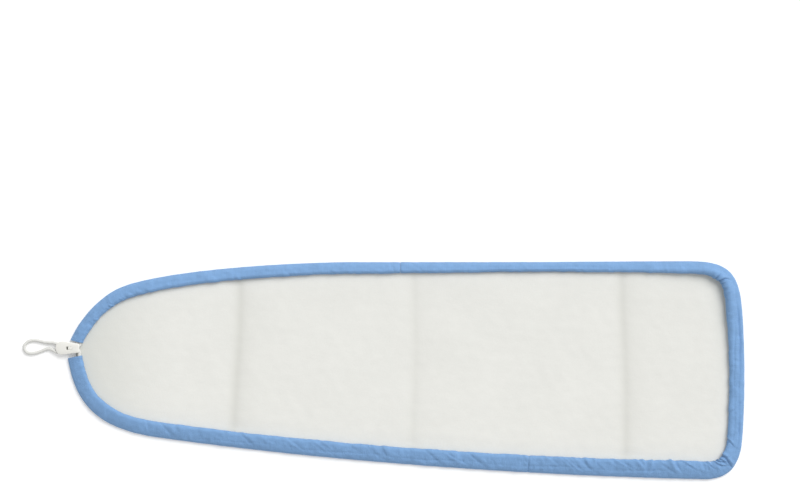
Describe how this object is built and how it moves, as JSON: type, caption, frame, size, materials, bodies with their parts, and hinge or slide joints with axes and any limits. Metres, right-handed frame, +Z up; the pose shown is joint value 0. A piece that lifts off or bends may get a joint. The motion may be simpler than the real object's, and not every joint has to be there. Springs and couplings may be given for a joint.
{
  "type": "pressing buck cover",
  "caption": "Fitted padded cover for the buck of a utility press: felt on a face cloth, edged by a casing with a drawcord that a wedge cord lock holds at the nose.",
  "frame": {"origin": "bottom centre of the box round the cover with its lock, without the free loop of cord", "axes": "+X from the nose towards the wide end, +Y towards the far side, +Z up out of the felt; the face side lies down"},
  "size_m": [1.3225, 0.3996, 0.016],
  "materials": {
    "cloth": "light blue plain-woven polyester, matt",
    "felt": "off-white needled felt",
    "cord": "white braided cord",
    "plastic": "off-white moulded plastic, low sheen"
  },
  "bodies": {
    "cover": {"cover_panel": "cloth", "felt_pad": "felt", "casing_far_side": "cloth", "casing_wide_end": "cloth", "casing_near_side": "cloth", "drawcord": "cord", "cord_tail_far": "cord", "cord_tail_near": "cord"},
    "lock": {"lock_housing": "plastic", "cord_loop": "cord"},
    "wedge": {"lock_wedge": "plastic"}
  },
  "joints": [
    {"name": "draw_slide", "type": "slide", "parent": "cover", "child": "lock", "axis": [-1, 0, 0], "range_m": [0, 0.01], "deforming": ["cord_tail_far", "cord_tail_near"]},
    {"name": "wedge_slide", "type": "slide", "parent": "lock", "child": "wedge", "axis": [-0.9877, 0, -0.1565], "range_m": [0, 0.003]}
  ]
}
